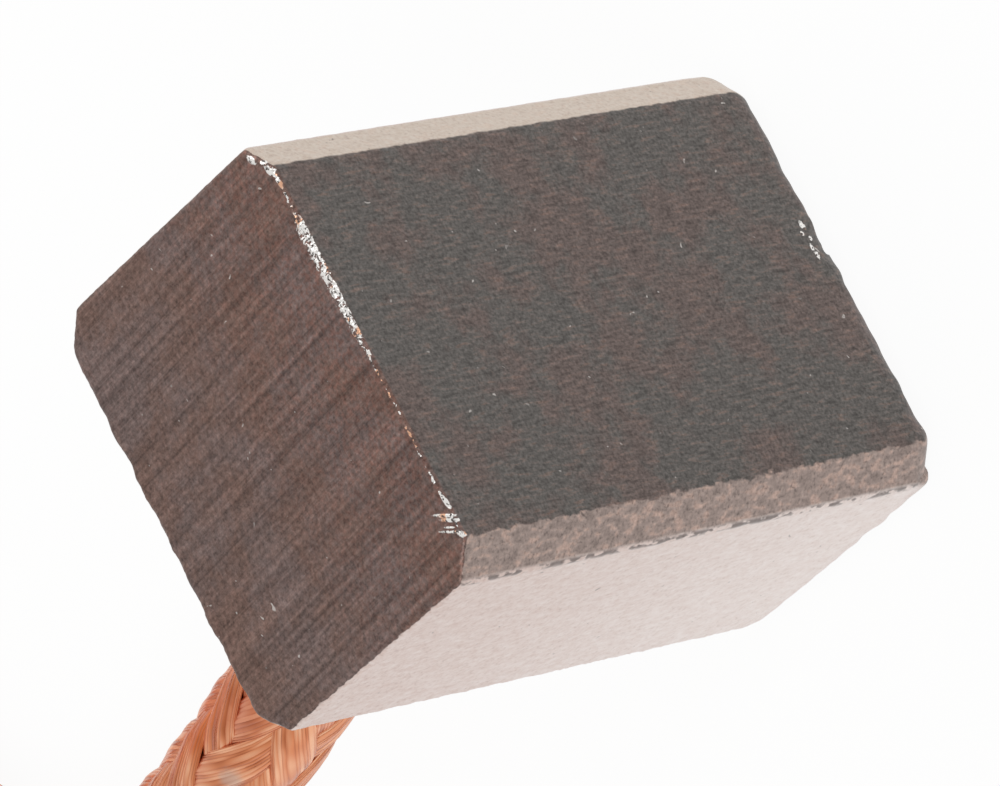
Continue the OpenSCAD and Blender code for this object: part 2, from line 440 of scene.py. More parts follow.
def makeTinMaterial():
    # electroplated tin over brass, then stamped and crimped: soft satin white metal with rubbed dull
    # clouds, faint rolling lines along the sheet, and bare brass on the sheared edge of the ring
    material, tree, sockets = newMaterial("stamped tin-plated brass", Metallic=1)
    place = addNode(tree, "VectorMath", {0: addNode(tree, "TexCoord", out=3), 3: 1 / mm}, operation="SCALE")
    clouds = addNode(tree, "TexNoise", {"Vector": place, "Scale": 0.7, "Detail": 4.0, "Roughness": 0.6})
    lines = addNode(tree, "VectorMath", {0: place, 1: (0.4, 14, 14)}, operation="MULTIPLY")
    lines = addNode(tree, "TexNoise", {"Vector": lines, "Scale": 1.0, "Detail": 2.0})
    dull = addNode(tree, "MapRange", {0: clouds, 1: 0.42, 2: 0.66}, interpolation_type="SMOOTHSTEP")
    color = addNode(tree, "Mix", {0: dull, 6: linearColor(terminal["tin"]),
                                   7: linearColor(terminal["tinDull"])}, out=2, data_type="RGBA")
    facing = addNode(tree, "SeparateXYZ", {0: addNode(tree, "NewGeometry", out=1)}, out=2)
    sheared = addNode(tree, "MapRange", {0: addNode(tree, "Math", {0: facing}, operation="ABSOLUTE"),
                                         1: 0.25, 2: 0.1}, interpolation_type="SMOOTHSTEP")
    low = addNode(tree, "MapRange", {0: addNode(tree, "SeparateXYZ", {0: place}, out=2),
                                     1: terminal["sheet"], 2: terminal["sheet"] - 0.08})
    bare = addNode(tree, "Math", {0: sheared, 1: low}, operation="MULTIPLY")
    bare = addNode(tree, "Math", {0: bare, 1: addNode(tree, "MapRange", {0: clouds, 1: 0.35, 2: 0.6})},
                   operation="MULTIPLY")
    color = addNode(tree, "Mix", {0: bare, 6: color, 7: linearColor(terminal["brass"])},
                    out=2, data_type="RGBA")
    tree.links.new(color, sockets["Base Color"])
    rough = addNode(tree, "MapRange", {0: clouds, 1: 0.3, 2: 0.7, 3: 0.24, 4: 0.46})
    tree.links.new(rough, sockets["Roughness"])
    height = addNode(tree, "Math", {0: lines, 1: clouds}, operation="ADD")
    tree.links.new(addNode(tree, "Bump", {"Strength": 0.35, "Distance": 0.01 * mm, "Height": height}),
                   sockets["Normal"])
    return material


terminalPiece = makeTerminal()
giveMaterial(terminalPiece, makeTinMaterial())
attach(terminalPiece, "root")
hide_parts("ring_terminal")

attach(braid, "root")
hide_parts("pigtail_braid")
print("terminal crimped on:", len(terminalPiece.data.polygons), "faces")


# ---- block: pressed and ground copper graphite ----

block = {
    "chamfer": 0.75,
    "skewChamfer": (0.83, 0.53),    # the front right chamfer, along the front and along the side
    "endRadius": 0.8,
    "sideEndRadius": 0.45,      # the same edge along the left side is crisper
    "sideEndReach": 3.6,        # up to here along y
    "edgeSoftness": 0.07,
    "backSoftness": 0.27,
    "topSoftness": 0.16,        # the running face's edges, except the sharp front one
    "seatRadius": 2.2,
    "seatDepth": 5,
    "seatHeight": 5.5,
    "mouthFlare": 0.35,
    "detail": 0.05,             # grid of the sculpted surface
    "trianglesKept": 180000,
    "wear": (0.009, 0.008),     # depth of the slow and the fine waves along all edges
    "endWaves": 0.026,          # of the pressed end, and of the upper back edge
    "backWaves": 0.018,
    "edgeChips": 26,            # fine chips along the front edge of the running face
    # larger chips: place, size along x y z
    "chips": [
        ((4.9, -4.42, 15.9), (0.75, 0.7, 0.7)),
        ((2.1, 4.16, 15.66), (0.42, 0.3, 0.3)),
        ((0.95, -4.2, 0.0), (0.8, 0.64, 0.52)),
        ((0.45, -4.05, 0.12), (0.26, 0.42, 0.42)),
    ],
    # the torn front edge: place along x, how far the tear reaches over the running face
    "tear": [(-4.7, 0.05), (-3.6, 0.06), (-0.3, 0.05), (0.4, 0.13), (1.6, 0.17), (3.1, 0.19), (3.5, 0.07),
             (4.1, 0.06), (4.6, 0.11), (5.2, 0.03)],
    "tearHeight": 0.05,         # and down the front
    # smeared metal spots with a painted glint: place, half size, degrees turned about z
    "smearsWithGlint": [
        ((-3.99, -3.76, 15.5), (0.38, 0.045, 0.15), 60),
        ((-4.15, -3.85, 15.5), (0.32, 0.05, 0.15), 60),
        ((-4.27, -3.74, 15.5), (0.16, 0.025, 0.15), 60),
        ((-4.38, -3.74, 15.5), (0.40, 0.03, 0.15), 60),
        ((-4.54, -3.94, 15.5), (0.14, 0.07, 0.14), 40),
        ((-3.75, -3.96, 15.5), (0.26, 0.045, 0.1), 8),
        ((5.03, -3.52, 15.45), (0.17, 0.08, 0.12), 30),
        ((4.80, -3.78, 15.45), (0.12, 0.05, 0.12), 40),
        ((4.58, -3.83, 15.48), (0.17, 0.08, 0.12), 20),
        ((4.26, -3.93, 15.5), (0.25, 0.05, 0.1), 5),
        ((1.06, -3.9, 0.86), (0.13, 0.25, 0.10), 0),
        ((0.86, -3.9, 1.0), (0.07, 0.25, 0.06), 0),
        ((0.70, -3.9, 0.82), (0.08, 0.25, 0.06), 0),
        ((0.47, -3.9, 0.93), (0.13, 0.25, 0.06), 0),
        ((0.27, -3.9, 0.88), (0.12, 0.25, 0.07), 0),
    ],
}


def waves(points, length, seed, count=28):    # a smooth random field, about -1 to 1, with bumps of this length
    maker = np.random.default_rng(seed)
    total = np.zeros(len(points))
    for _ in range(count):
        direction = maker.normal(size=3)
        direction /= np.linalg.norm(direction)
        turns = 2 * math.pi / (length * maker.uniform(0.7, 1.6))
        total += np.sin(points @ direction * turns + maker.uniform(0, 2 * math.pi))
    return total / math.sqrt(count / 2) / 1.6


def addChip(place, size, seed):
    deselectAll()
    bpy.ops.mesh.primitive_ico_sphere_add(subdivisions=3, radius=1, location=(0, 0, 0))
    chip = bpy.context.object
    points = getPoints(chip)
    points *= (1 + 0.12 * waves(points, 1.3, seed))[:, None]
    setPoints(chip, points * np.array(size) * mm + np.array(place) * mm)
    return chip


def makeBlock():
    size = blockHigh - blockLow
    deselectAll()
    bpy.ops.mesh.primitive_cube_add(size=1, location=(blockHigh + blockLow) / 2)
    piece = bpy.context.object
    piece.name = "carbonBlock"
    piece.scale = size
    bpy.ops.object.transform_apply(location=True, rotation=True, scale=True)
    tiny = 0.001 * mm
    bevelEdges(piece, lambda a, b: abs(a.z - b.z) > size.z / 2,
               offset=block["chamfer"] * mm, segments=1)
    points = getPoints(piece)
    frontSide, rightSide = block["skewChamfer"]
    onFront = (points[:, 0] > 0) & (np.abs(points[:, 1] - blockLow.y) < tiny)
    onRight = (points[:, 1] < 0) & (np.abs(points[:, 0] - blockHigh.x) < tiny)
    points[onFront, 0] = blockHigh.x - frontSide * mm
    points[onRight, 1] = blockLow.y + rightSide * mm
    setPoints(piece, points)
    bevelEdges(piece, lambda a, b: max(a.z, b.z) < blockLow.z + tiny,
               offset=block["endRadius"] * mm, segments=7, profile=0.5, clamp_overlap=False)
    # upright edges: soft along the back face, crisp elsewhere
    pastBack = blockHigh.y - block["backSoftness"] * mm * 1.5
    bevelEdges(piece, lambda a, b: abs(a.z - b.z) > size.z / 2 and a.y > blockHigh.y - tiny,
               offset=block["backSoftness"] * mm, segments=4)
    bevelEdges(piece, lambda a, b: abs(a.z - b.z) > size.z / 2 and a.y < pastBack,
               offset=block["edgeSoftness"] * mm, segments=2)
    offFront = blockLow.y + 0.1 * mm
    bevelEdges(piece, lambda a, b: min(a.z, b.z) > blockHigh.z - tiny and (a.y + b.y) / 2 > offFront,
               offset=block["topSoftness"] * mm, segments=3)

    cutters = [addChip(place, size, 50 + i) for i, (place, size) in enumerate(block["chips"])]
    front, top = blockLow.y / mm, blockHigh.z / mm
    for i in range(block["edgeChips"]):
        x = random.uniform(-4.6, 4.75)
        radius = random.uniform(0.08, 0.16)
        out = radius * random.uniform(0.5, 0.68)
        cutters.append(addChip((x, front - out * 0.6, top + out),
                               (radius * random.uniform(1.2, 2.4), radius, radius), 100 + i))
    deselectAll()
    seatY = blockHigh.y - block["seatDepth"] / 2 * mm
    bpy.ops.mesh.primitive_cylinder_add(vertices=72, radius=block["seatRadius"] * mm,
                                        depth=(block["seatDepth"] + 0.2) * mm,
                                        location=(0, seatY + 0.1 * mm, block["seatHeight"] * mm),
                                        rotation=(math.pi / 2, 0, 0))
    cutters.append(bpy.context.object)
    deselectAll()
    bpy.ops.mesh.primitive_cone_add(vertices=72, radius1=(block["seatRadius"] + 2 * block["mouthFlare"]) * mm,
                                    radius2=block["seatRadius"] * mm, depth=2 * block["mouthFlare"] * mm,
                                    location=(0, blockHigh.y, block["seatHeight"] * mm),
                                    rotation=(math.pi / 2, 0, 0))
    cutters.append(bpy.context.object)
    deselectAll()
    for cutter in cutters:
        cutter.select_set(True)
    bpy.context.view_layer.objects.active = cutters[0]
    bpy.ops.object.join()
    cutter = bpy.context.object
    makeActive(cutter)
    bpy.ops.object.transform_apply(location=True, rotation=True, scale=True)
    applyModifier(piece, "BOOLEAN", operation="DIFFERENCE", solver="EXACT", use_self=True, object=cutter)
    bpy.data.objects.remove(cutter)
    print("block chipped:", len(piece.data.polygons), "faces")
    applyModifier(piece, "REMESH", mode="VOXEL", voxel_size=block["detail"] * mm * 1,
                  adaptivity=0)
    print("block remeshed:", len(piece.data.polygons), "faces")
    return piece


def sharpenSide(piece):         # the pressed end's round is smaller along the left side
    points = getPoints(piece) / mm
    x, y, z = points.T
    wide, big, small = blockHigh.x / mm, block["endRadius"], block["sideEndRadius"]
    outX, outZ = np.clip(x + wide, 0, None), np.clip(z, 0, None)
    inRound = (outX < big) & (outZ < big) & (np.abs(y) < block["sideEndReach"])
    reach = np.hypot(big - outX, big - outZ)
    turn = np.arctan2(big - outZ, big - outX)
    # the same direction from the middle, but out to the surface of the smaller round
    middle = big - small
    along = middle * (np.cos(turn) + np.sin(turn))
    onSmall = along + np.sqrt(np.maximum(along ** 2 - 2 * middle ** 2 + small ** 2, 0))
    onFlat = big / np.maximum(np.maximum(np.cos(turn), np.sin(turn)), 0.1)
    wanted = np.where(onSmall * np.minimum(np.cos(turn), np.sin(turn)) > middle, onSmall, onFlat)
    grow = np.where(inRound & (reach > big - 0.1), np.clip(wanted - big, 0, 0.2), 0)
    grow *= np.clip((block["sideEndReach"] - np.abs(y)) / 0.5, 0, 1)
    points[:, 0] -= grow * np.cos(turn)
    points[:, 2] -= grow * np.sin(turn)
    setPoints(piece, points * mm)


def selectNearFrontEdge(piece, reach):    # the faces beside the front edge of the running face
    makeActive(piece)
    bpy.ops.object.mode_set(mode="EDIT")
    bpy.ops.mesh.select_mode(type="FACE")
    bpy.ops.mesh.select_all(action="DESELECT")
    bpy.ops.object.mode_set(mode="OBJECT")
    centres = np.empty(len(piece.data.polygons) * 3)
    piece.data.polygons.foreach_get("center", centres)
    centres = centres.reshape(-1, 3)
    near = (centres[:, 1] < blockLow.y + reach * mm) & (centres[:, 2] > blockHigh.z - reach * mm)
    piece.data.polygons.foreach_set("select", near)


def tearFrontEdge(piece):       # the burred edge: a narrow broken facet with flakes
    selectNearFrontEdge(piece, 0.45)
    bpy.ops.object.mode_set(mode="EDIT")
    bpy.ops.mesh.subdivide(number_cuts=1)
    bpy.ops.object.mode_set(mode="OBJECT")
    points = getPoints(piece) / mm
    x, y, z = points.T
    fromFront, fromTop = y - blockLow.y / mm, blockHigh.z / mm - z
    along = np.stack([x, x * 0, x * 0], axis=1)
    width = np.interp(x, *zip(*block["tear"])) * (1 + 0.35 * waves(along, 0.25, 22))
    height = block["tearHeight"] * (1 + 0.35 * waves(along, 0.3, 23))
    width, height = np.maximum(width, 0.02), np.maximum(height, 0.015)
    inside = 1 - (fromFront / width + fromTop / height)
    step = np.where(inside > 0, inside / (1 / width ** 2 + 1 / height ** 2), 0)
    points[:, 1] += step / width
    points[:, 2] -= step / height
    # flakes and smears stand a little proud of the ground faces
    flake = np.where(inside > -0.2, 0.010 * waves(points, 0.08, 26) + 0.006 * waves(points, 0.15, 27), 0)
    for spot, halfSize, turn in block["smearsWithGlint"][:6]:
        offset = points - np.array(spot)
        c, s = math.cos(math.radians(turn)), math.sin(math.radians(turn))
        offset = np.stack([c * offset[:, 0] + s * offset[:, 1],
                           c * offset[:, 1] - s * offset[:, 0], offset[:, 2]], axis=1)
        away = np.linalg.norm(offset / np.array(halfSize), axis=1)
        flake += 0.02 * np.clip(1.2 - away, 0, 1)
    points[:, 1] -= flake * 0.3
    points[:, 2] += flake * 0.9
    setPoints(piece, points * mm)


def softenCorners(piece):       # the pressed end is rounder at its corners than along its edges
    x, y, z = np.abs(getPoints(piece) / mm).T
    corner = np.clip((x - 4.0) / 0.4, 0, 1) * np.clip((y - 2.6) / 0.4, 0, 1) * np.clip((1.5 - z) / 0.9, 0, 1)
    group = piece.vertex_groups.new(name="corners")
    for level in range(1, 6):
        chosen = np.nonzero(np.ceil(corner * 5) == level)[0]
        group.add(chosen.tolist(), level / 5, "REPLACE")
    applyModifier(piece, "SMOOTH", factor=0.6, iterations=40, vertex_group="corners")


def roughenBlock(piece):        # wavy outline, worn edges and the pressed skin's fine lumps
    points = getPoints(piece) / mm
    normals = np.empty(len(points) * 3)
    piece.data.vertices.foreach_get("normal", normals)
    normals = normals.reshape(-1, 3)
    x, y, z = points.T
    halfX, halfY, high = blockHigh.x / mm, blockHigh.y / mm, blockHigh.z / mm
    # how far inside each of the flat sides a point lies
    sides = np.stack([halfX - np.abs(x), halfY - np.abs(y), high - z, z,
                      (halfX + halfY - block["chamfer"] - np.abs(x) - np.abs(y)) * math.sqrt(0.5)])
    sides = np.sort(np.abs(sides), axis=0)
    nearEdge = np.clip(1 - sides[1] / 0.3, 0, 1) ** 2      # the second nearest side is close by at an edge
    bottom = np.clip(1.2 - z, 0, 1)
    back = np.clip((y - halfY + 0.4) / 0.3, 0, 1) * np.clip((z - high + 0.4) / 0.3, 0, 1)
    inSeat = (np.hypot(x, z - block["seatHeight"]) < block["seatRadius"] + 0.2) & (y > -2)
    slow, fine = block["wear"]
    amount = (slow * nearEdge * waves(points, 0.4, 1) + fine * nearEdge * waves(points, 0.16, 2)
              + block["endWaves"] * bottom * waves(points, 0.75, 3)
              + block["backWaves"] * back * waves(points, 0.6, 5))
    amount[inSeat] = 0
    setPoints(piece, (points + normals * amount[:, None]) * mm)


def finishBlock(piece):
    makeActive(piece)
    triangles = 2 * len(piece.data.polygons)
    applyModifier(piece, "DECIMATE", ratio=min(1, block["trianglesKept"] / triangles))
    bpy.ops.object.shade_smooth_by_angle(angle=math.radians(32))
    print("block finished:", sum(len(p.vertices) - 2 for p in piece.data.polygons), "triangles")


blockPiece = makeBlock()
softenCorners(blockPiece)
sharpenSide(blockPiece)
roughenBlock(blockPiece)
tearFrontEdge(blockPiece)
finishBlock(blockPiece)
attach(blockPiece, "root")
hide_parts("carbon_block")


graphite = {
    "groundWarm": "#706460",
    "groundCool": "#696562",
    "groundRust": "#7C6256",
    "faceBrown": "#78625A",
    "faceGrey": "#776763",
    "faceRed": "#85594D",
    # the pale side and skew chamfer colours are a painted sheen, the low-angle reflection of the pale floor
    # put into the colour
    "sidePaintedSheen": "#D8C6BF",
    "sidePaintedSheenEnd": "#E4D8D3",   # painted sheen, lighter towards the pressed end
    "skinChamfer": "#9D8D86",
    "skewPaintedSheen": "#D2C4B7",
    "skinPeach": "#BE9A89",
    "pit": "#4E4441",
    "grain": "#CFC9C4",
    # the near-white and coppery metal colours paint a glint on the broken edges
    "glintMetal": "#F4F1ED",
    "glintMetalCopper": "#E9B595",
    "metalDark": "#5A5350",
}


def makeGraphiteMaterial():
    # copper graphite: sides as pressed are grainy, and the flat sides and skew chamfer carry a pale painted
    # sheen; sides ground to size are dark with fine marks and copper dashes, and the broken edges carry a
    # painted glint as near-white smeared metal
    material, tree, sockets = newMaterial("pressed and ground copper graphite", Metallic=1)
    tint = {name: linearColor(value) for name, value in graphite.items()}
    place = addNode(tree, "VectorMath", {0: addNode(tree, "TexCoord", out=3), 3: 1 / mm}, operation="SCALE")
    x, y, z = addNode(tree, "SeparateXYZ", {0: place}).node.outputs
    absX = addNode(tree, "Math", {0: x}, operation="ABSOLUTE")
    absY = addNode(tree, "Math", {0: y}, operation="ABSOLUTE")
    top, wide, deep = blockHigh.z / mm, blockHigh.x / mm, blockHigh.y / mm

    # where the sides are as pressed: beyond the ground front and back, with a ragged border
    past = addNode(tree, "Math", {0: addNode(tree, "Math", {0: absX, 1: absY}, operation="SUBTRACT"),
                                  1: wide - block["chamfer"] - deep}, operation="SUBTRACT")
    past = addNode(tree, "Math", {0: past, 1: addNode(tree, "Math", {0: 0.25, 1: z}, operation="SUBTRACT")},
                   operation="MAXIMUM")
    fromTop = addNode(tree, "Math", {0: top, 1: z}, operation="SUBTRACT")
    underTop = addNode(tree, "Math", {0: fromTop, 1: 4.0, 2: -0.25}, operation="MULTIPLY_ADD")
    past = addNode(tree, "Math", {0: past, 1: underTop}, operation="MINIMUM")
    stretched = addNode(tree, "VectorMath", {0: place, 1: (1, 1, 0.6)}, operation="MULTIPLY")
    ragged = addNode(tree, "TexNoise", {"Vector": stretched, "Scale": 5.0, "Detail": 3.0})
    raggedness = addNode(tree, "MapRange", {0: x, 1: -4.0, 2: 4.0, 3: 0.45, 4: 0.14})
    ragged = addNode(tree, "Math", {0: ragged, 1: 0.5}, operation="SUBTRACT")
    past = addNode(tree, "Math", {0: ragged, 1: raggedness, 2: past}, operation="MULTIPLY_ADD")
    pressed = addNode(tree, "MapRange", {0: past, 1: -0.03, 2: 0.06}, interpolation_type="SMOOTHSTEP")
    onTop = addNode(tree, "MapRange", {0: fromTop, 1: 0.12, 2: 0.03}, interpolation_type="SMOOTHSTEP")

    # grains of 0.05 to 0.1 mm, lumps of 0.15 mm, and slow drifts of 2 mm
    grain = addNode(tree, "TexNoise", {"Vector": place, "Scale": 11.0, "Detail": 3.0, "Roughness": 0.65})
    lumps = addNode(tree, "TexNoise", {"Vector": stretched, "Scale": 5.5, "Detail": 2.0})
    drift = addNode(tree, "TexNoise", {"Vector": place, "Scale": 0.45, "Detail": 7.0, "Roughness": 0.68})

    # front and back: dark warm grey with cool patches and faint copper dashes along the block
    cool = addNode(tree, "MapRange", {0: drift, 1: 0.42, 2: 0.56}, interpolation_type="SMOOTHSTEP")
    front = addNode(tree, "Mix", {0: cool, 6: tint["groundWarm"], 7: tint["groundCool"]},
                    out=2, data_type="RGBA")
    drawnOut = addNode(tree, "VectorMath", {0: place, 1: (1, 1, 0.22)}, operation="MULTIPLY")
    dashes = addNode(tree, "TexNoise", {"Vector": drawnOut, "Scale": 9.0, "Detail": 4.0, "Roughness": 0.6})
    rust = addNode(tree, "MapRange", {0: dashes, 1: 0.52, 2: 0.68, 4: 0.4}, interpolation_type="SMOOTHSTEP")
    front = addNode(tree, "Mix", {0: rust, 6: front, 7: tint["groundRust"]}, out=2, data_type="RGBA")
    front = addNode(tree, "Mix", {0: 0.8, 6: front, 7: dashes}, out=2, data_type="RGBA", blend_type="OVERLAY")

    # running face: browner, with straight grinding marks 0.1 mm apart, a few degrees off square
    turned = addNode(tree, "Mapping", {0: place, 2: (0, 0, math.radians(3.3)), 3: (1, 80, 1)},
                     vector_type="TEXTURE")
    marks = addNode(tree, "TexNoise", {"Vector": turned, "Scale": 9.0, "Detail": 3.0, "Roughness": 0.6})
    brown = addNode(tree, "MapRange", {0: drift, 1: 0.4, 2: 0.6}, interpolation_type="SMOOTHSTEP")
    face = addNode(tree, "Mix", {0: brown, 6: tint["faceBrown"], 7: tint["faceGrey"]}, out=2, data_type="RGBA")
    reddest = addNode(tree, "MapRange", {0: y, 1: 1.0, 2: -3.5, 3: 0.1, 4: 0.45})
    reds = addNode(tree, "MapRange", {0: dashes, 1: 0.4, 2: 0.65}, interpolation_type="SMOOTHSTEP")
    reds = addNode(tree, "Math", {0: reds, 1: reddest}, operation="MULTIPLY")
    face = addNode(tree, "Mix", {0: reds, 6: face, 7: tint["faceRed"]}, out=2, data_type="RGBA")
    face = addNode(tree, "Mix", {0: 0.75, 6: face, 7: marks}, out=2, data_type="RGBA", blend_type="OVERLAY")
    ground = addNode(tree, "Mix", {0: onTop, 6: front, 7: face}, out=2, data_type="RGBA")
    ground = addNode(tree, "Mix", {0: 1.0, 6: ground, 7: grain}, out=2, data_type="RGBA", blend_type="OVERLAY")

    # single pale grains and pits, of many sizes, some drawn out to short scratches
    bent = addNode(tree, "TexNoise", {"Vector": place, "Scale": 3.0, "Detail": 1.0}, out=1)
    bent = addNode(tree, "VectorMath", {0: bent, 3: 0.5}, operation="SCALE")
    bent = addNode(tree, "VectorMath", {0: place, 1: bent}, operation="ADD")
    cells = addNode(tree, "TexVoronoi", {"Vector": bent, "Scale": 3.0}).node.outputs
    chance = addNode(tree, "SeparateColor", {0: cells["Color"]}).node.outputs
    for channel, share, name in ((0, 0.8, "grain"), (1, 0.55, "pit")):
        size = addNode(tree, "MapRange", {0: chance[channel], 1: 0.55, 2: 1.0, 3: 0.0, 4: 0.15})
        spot = addNode(tree, "Math", {0: size, 1: cells["Distance"]}, operation="SUBTRACT")
        spot = addNode(tree, "MapRange", {0: spot, 1: 0.0, 2: 0.07, 4: share}, interpolation_type="SMOOTHSTEP")
        ground = addNode(tree, "Mix", {0: spot, 6: ground, 7: tint[name]}, out=2, data_type="RGBA")

    # pressed sides: the flat sides and the skew chamfer are pale with a painted sheen, lighter towards the
    # pressed end; the other chamfers are browner and lumpy
    onSide = addNode(tree, "MapRange", {0: absX, 1: wide - 0.10, 2: wide - 0.02},
                     interpolation_type="SMOOTHSTEP")
    towardEnd = addNode(tree, "MapRange", {0: z, 1: top, 2: 0.0}, interpolation_type="SMOOTHSTEP")
    side = addNode(tree, "Mix", {0: towardEnd, 6: tint["sidePaintedSheen"], 7: tint["sidePaintedSheenEnd"]},
                   out=2, data_type="RGBA")
    onSkew = addNode(tree, "MapRange", {0: addNode(tree, "Math", {0: x, 1: y}, operation="SUBTRACT"),
                                        1: 8.3, 2: 8.4}, interpolation_type="SMOOTHSTEP")
    skin = addNode(tree, "Mix", {0: onSkew, 6: tint["skinChamfer"], 7: tint["skewPaintedSheen"]},
                   out=2, data_type="RGBA")
    peach = addNode(tree, "MapRange", {0: lumps, 1: 0.5, 2: 0.66, 4: 0.3}, interpolation_type="SMOOTHSTEP")
    skin = addNode(tree, "Mix", {0: peach, 6: skin, 7: tint["skinPeach"]}, out=2, data_type="RGBA")
    skin = addNode(tree, "Mix", {0: onSide, 6: skin, 7: side}, out=2, data_type="RGBA")
    rawness = addNode(tree, "Math", {0: onSide, 1: onSkew}, operation="MAXIMUM")
    pitted = addNode(tree, "MapRange", {0: rawness, 3: 0.3, 4: 0.1})
    pits = addNode(tree, "MapRange", {0: grain, 1: 0.46, 2: 0.30}, interpolation_type="SMOOTHSTEP")
    pitted = addNode(tree, "Math", {0: pits, 1: pitted}, operation="MULTIPLY")
    skin = addNode(tree, "Mix", {0: pitted, 6: skin, 7: tint["pit"]}, out=2, data_type="RGBA")
    lumpy = addNode(tree, "MapRange", {0: rawness, 3: 0.55, 4: 0.3})
    skin = addNode(tree, "Mix", {0: lumpy, 6: skin, 7: lumps}, out=2, data_type="RGBA", blend_type="OVERLAY")
    skin = addNode(tree, "Mix", {0: lumpy, 6: skin, 7: grain}, out=2, data_type="RGBA", blend_type="OVERLAY")
    skin = addNode(tree, "Mix", {0: spot, 6: skin, 7: tint["pit"]}, out=2, data_type="RGBA")

    # the edge between the lower front chamfer and the side is scuffed dark
    offEdge = addNode(tree, "Math", {0: x, 1: wide}, operation="ADD")
    offEdge = addNode(tree, "Math", {0: offEdge}, operation="ABSOLUTE")
    offCorner = addNode(tree, "Math", {0: y, 1: deep - block["chamfer"]}, operation="ADD")
    offCorner = addNode(tree, "Math", {0: offCorner}, operation="ABSOLUTE")
    scuff = addNode(tree, "Math", {0: offEdge, 1: offCorner}, operation="ADD")
    scuff = addNode(tree, "MapRange", {0: scuff, 1: 0.18, 2: 0.03, 4: 0.75}, interpolation_type="SMOOTHSTEP")
    patchy = addNode(tree, "MapRange", {0: lumps, 1: 0.42, 2: 0.56}, interpolation_type="SMOOTHSTEP")
    scuff = addNode(tree, "Math", {0: scuff, 1: patchy}, operation="MULTIPLY")
    skin = addNode(tree, "Mix", {0: scuff, 6: skin, 7: tint["pit"]}, out=2, data_type="RGBA")
    color = addNode(tree, "Mix", {0: pressed, 6: ground, 7: skin}, out=2, data_type="RGBA")

    # broken metal along the front edge of the running face, as wide as the tear there, near white as a painted
    # glint
    reachScale, end = 4, 5.2    # a ramp holds values up to 1, so the widths in mm are stored four times larger
    reach = addNode(tree, "MapRange", {0: x, 1: -end, 2: end})
    reach = addNode(tree, "ValToRGB", {0: reach}, stops=[
        ((spot + end) / (2 * end), (width * reachScale,) * 3 + (1,)) for spot, width in block["tear"]])
    fromFront = addNode(tree, "Math", {0: y, 1: deep}, operation="ADD")
    flakes = addNode(tree, "TexNoise", {"Vector": place, "Scale": 14.0, "Detail": 2.0})
    edgeOff = addNode(tree, "Math", {0: fromTop, 1: 3.0, 2: fromFront}, operation="MULTIPLY_ADD")
    reach = addNode(tree, "Math", {0: reach, 1: 1 / reachScale}, operation="MULTIPLY")
    edgeOff = addNode(tree, "Math", {0: edgeOff, 1: reach}, operation="DIVIDE")
    edgeOff = addNode(tree, "Math", {0: flakes, 1: 1.6, 2: edgeOff}, operation="MULTIPLY_ADD")
    torn = addNode(tree, "MapRange", {0: edgeOff, 1: 2.1, 2: 1.85}, interpolation_type="SMOOTHSTEP")
    inLength = addNode(tree, "MapRange", {0: absX, 1: 4.72, 2: 4.6}, interpolation_type="SMOOTHSTEP")
    torn = addNode(tree, "Math", {0: torn, 1: inLength}, operation="MULTIPLY")
    # and smeared in single spots, with the same painted glint
    nearest = 9.0
    for spot, halfSize, turn in block["smearsWithGlint"]:
        local = addNode(tree, "Mapping", {0: place, 1: spot, 2: (0, 0, math.radians(turn)), 3: halfSize},
                        vector_type="TEXTURE")
        away = addNode(tree, "VectorMath", {0: local}, out=1, operation="LENGTH")
        nearest = addNode(tree, "Math", {0: nearest, 1: away}, operation="MINIMUM")
    nearest = addNode(tree, "Math", {0: flakes, 1: 0.8, 2: nearest}, operation="MULTIPLY_ADD")
    smeared = addNode(tree, "MapRange", {0: nearest, 1: 1.5, 2: 1.15}, interpolation_type="SMOOTHSTEP")
    brightGlint = addNode(tree, "Math", {0: torn, 1: smeared}, operation="MAXIMUM")
    coppery = addNode(tree, "TexNoise", {"Vector": place, "Scale": 3.0, "Detail": 2.0})
    coppery = addNode(tree, "MapRange", {0: coppery, 1: 0.55, 2: 0.62}, interpolation_type="SMOOTHSTEP")
    glintMetal = addNode(tree, "Mix", {0: coppery, 6: tint["glintMetal"], 7: tint["glintMetalCopper"]},
                    out=2, data_type="RGBA")
    between = addNode(tree, "TexNoise", {"Vector": place, "Scale": 17.0, "Detail": 1.0})
    between = addNode(tree, "MapRange", {0: between, 1: 0.5, 2: 0.36}, interpolation_type="SMOOTHSTEP")
    glintMetal = addNode(tree, "Mix", {0: between, 6: glintMetal, 7: tint["metalDark"]}, out=2, data_type="RGBA")
    color = addNode(tree, "Mix", {0: brightGlint, 6: color, 7: glintMetal}, out=2, data_type="RGBA")
    tree.links.new(color, sockets["Base Color"])

    rough = addNode(tree, "MapRange", {0: pressed, 3: 0.48, 4: 0.38})
    rough = addNode(tree, "Math", {0: brightGlint, 1: -0.2, 2: rough}, operation="MULTIPLY_ADD")
    tree.links.new(rough, sockets["Roughness"])
    height = addNode(tree, "Math", {0: marks, 1: onTop}, operation="MULTIPLY")
    height = addNode(tree, "Math", {0: grain, 1: 1.2, 2: height}, operation="MULTIPLY_ADD")
    height = addNode(tree, "Math", {0: lumps, 1: pressed, 2: height}, operation="MULTIPLY_ADD")
    tree.links.new(addNode(tree, "Bump", {"Strength": 0.6, "Distance": 0.008 * mm, "Height": height}),
                   sockets["Normal"])
    return material


giveMaterial(blockPiece, makeGraphiteMaterial())
print("block coloured")


# ---- tamped copper powder that holds the pigtail in its hole ----

powder = {
    "grid": 0.06,
    "lumps": (0.05, 0.025),     # height of the coarse and the fine lumps at the mouth
    "mouth": 3.6,               # the part that shows starts here along y
    "sunk": 0.06,               # and lies this much below the block's face
    "color": "#A8694C",
    "pale": "#D89C78",
    "dark": "#4F3A31",
}


